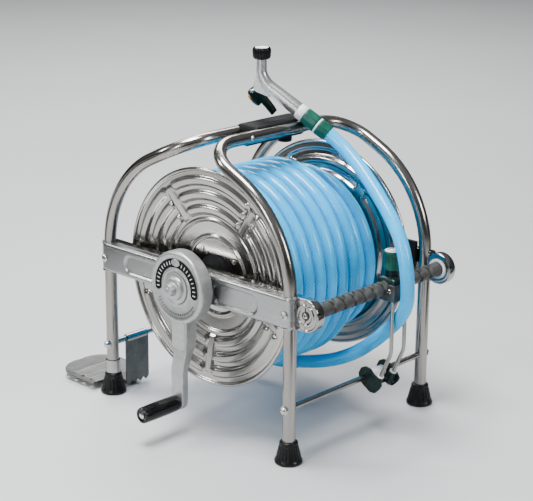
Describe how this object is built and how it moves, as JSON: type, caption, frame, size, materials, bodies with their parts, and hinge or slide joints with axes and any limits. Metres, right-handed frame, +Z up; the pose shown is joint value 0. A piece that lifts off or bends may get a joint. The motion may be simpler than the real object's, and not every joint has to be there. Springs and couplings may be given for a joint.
{
  "type": "garden hose reel",
  "caption": "Free-standing bent-tube garden hose reel with cranked drum, wound hose, level-wind guide on a helical screw, foot pedal and parked spray nozzle.",
  "frame": {"origin": "on the floor under the middle of the reel's overall length and depth, the parked hose and nozzle left out", "axes": "+X along the drum's axle away from the crank, +Y towards the pedal at the back, +Z up"},
  "size_m": [0.458, 0.5697, 0.5467],
  "materials": {
    "stainless": "satin stainless steel",
    "black_rubber": "matte moulded rubber",
    "black_plastic": "matte moulded plastic",
    "white_plastic": "smooth plastic",
    "grey_metal": "grey coated sheet steel",
    "blue_hose": "semi-gloss flexible pvc",
    "cast_grey": "silver-grey moulding",
    "screw_grey": "matte grey moulding",
    "dark_green": "very dark green plastic",
    "green_plastic": "green plastic",
    "nozzle_silver": "satin silver"
  },
  "bodies": {
    "frame": {"front_tube": "stainless", "rear_tube": "stainless", "front_lower_bar": "stainless", "rear_lower_bar": "stainless", "foot_front_near": "black_rubber", "foot_rear_near": "black_rubber", "foot_front_far": "black_rubber", "foot_rear_far": "black_rubber", "near_arm_outer": "stainless", "near_arm_inner": "stainless", "far_arm_outer": "stainless", "far_arm_inner": "stainless", "far_side_block": "black_plastic", "axle_bush_near": "black_plastic", "axle_bush_far": "black_plastic", "screw_bush_near": "white_plastic", "screw_bush_far": "white_plastic", "frame_screws": "stainless", "grip_top": "black_plastic", "grip_bottom": "black_plastic", "grip_screws": "stainless", "leg_collar": "black_plastic", "pivot_screw": "stainless", "drive_belt": "black_rubber", "nozzle_body": "nozzle_silver", "nozzle_ring": "white_plastic", "hose_connector": "green_plastic", "hose_nut": "dark_green", "trigger_pin": "stainless"},
    "drum": {"flange_near": "stainless", "flange_far": "stainless", "barrel": "stainless", "axle": "stainless", "hub_near": "black_plastic", "hub_far": "black_plastic", "hub_screws": "stainless", "hose_outlet": "stainless", "drum_pulley": "black_plastic", "hose_coil": "blue_hose", "crank_collar": "black_plastic", "crank_housing": "cast_grey", "crank_arm": "cast_grey", "crank_spindle": "stainless"},
    "crank_grip": {"crank_grip": "black_plastic"},
    "lock_knob": {"lock_knob": "cast_grey"},
    "screw": {"level_screw": "screw_grey", "screw_pulley": "black_plastic"},
    "guide": {"guide_block": "dark_green", "guide_rods": "stainless", "guide_shoe": "dark_green", "guide_screw": "stainless", "hose_lead": "blue_hose"},
    "roller": {"guide_roller": "white_plastic"},
    "release": {"release_knob": "green_plastic", "follower_pin": "stainless"},
    "pedal": {"pedal": "grey_metal"},
    "inlet": {"inlet_swivel": "black_plastic", "inlet_nipple": "black_plastic"},
    "trigger": {"nozzle_trigger": "dark_green"},
    "nozzle_head": {"nozzle_head": "black_plastic"}
  },
  "joints": [
    {"name": "drum_spin", "type": "hinge", "parent": "frame", "child": "drum", "pos_m": [0.032, -0.035, 0.226], "axis": [1, 0, 0], "range_deg": [-2160, 1044]},
    {"name": "guide_travel", "type": "slide", "parent": "frame", "child": "guide", "axis": [1, 0, 0], "range_m": [-0.151, 0.0735], "deforming": ["hose_lead"]},
    {"name": "screw_spin", "type": "hinge", "parent": "frame", "child": "screw", "pos_m": [0.032, -0.249, 0.226], "axis": [1, 0, 0], "range_deg": [-2484, 1201]},
    {"name": "crank_grip_spin", "type": "hinge", "parent": "drum", "child": "crank_grip", "pos_m": [-0.188, -0.035, 0.048], "axis": [1, 0, 0], "continuous": true},
    {"name": "lock_knob_pull", "type": "slide", "parent": "drum", "child": "lock_knob", "axis": [-1, 0, 0], "range_m": [0, 0.005]},
    {"name": "roller_spin", "type": "hinge", "parent": "guide", "child": "roller", "pos_m": [0.07, -0.223, 0.082], "axis": [1, 0, 0], "continuous": true},
    {"name": "release_lift", "type": "slide", "parent": "guide", "child": "release", "axis": [0, 0, 1], "range_m": [0, 0.006], "stiffness_N_per_m": 400, "springref_m": -0.004},
    {"name": "pedal_fold", "type": "hinge", "parent": "frame", "child": "pedal", "pos_m": [-0.088, 0.153, 0.082], "axis": [1, 0, 0], "range_deg": [0, 100]},
    {"name": "inlet_turn", "type": "hinge", "parent": "drum", "child": "inlet", "pos_m": [0.21, -0.035, 0.226], "axis": [1, 0, 0], "continuous": true},
    {"name": "trigger_squeeze", "type": "hinge", "parent": "frame", "child": "trigger", "pos_m": [0.0535, 0.0109, 0.4832], "axis": [-0.8427, 0.0414, -0.5367], "range_deg": [0, 12], "stiffness_Nm_per_rad": 0.2, "springref_deg": -8.59},
    {"name": "nozzle_head_turn", "type": "hinge", "parent": "frame", "child": "nozzle_head", "pos_m": [0.0525, -0.0031, 0.54], "axis": [0, 0, 1], "range_deg": [-180, 180]}
  ],
  "couplings": [
    {"joint": "guide_travel", "follows": "drum_spin", "m_per_rad": 0.0039789},
    {"joint": "screw_spin", "follows": "drum_spin", "ratio": 1.1494}
  ]
}
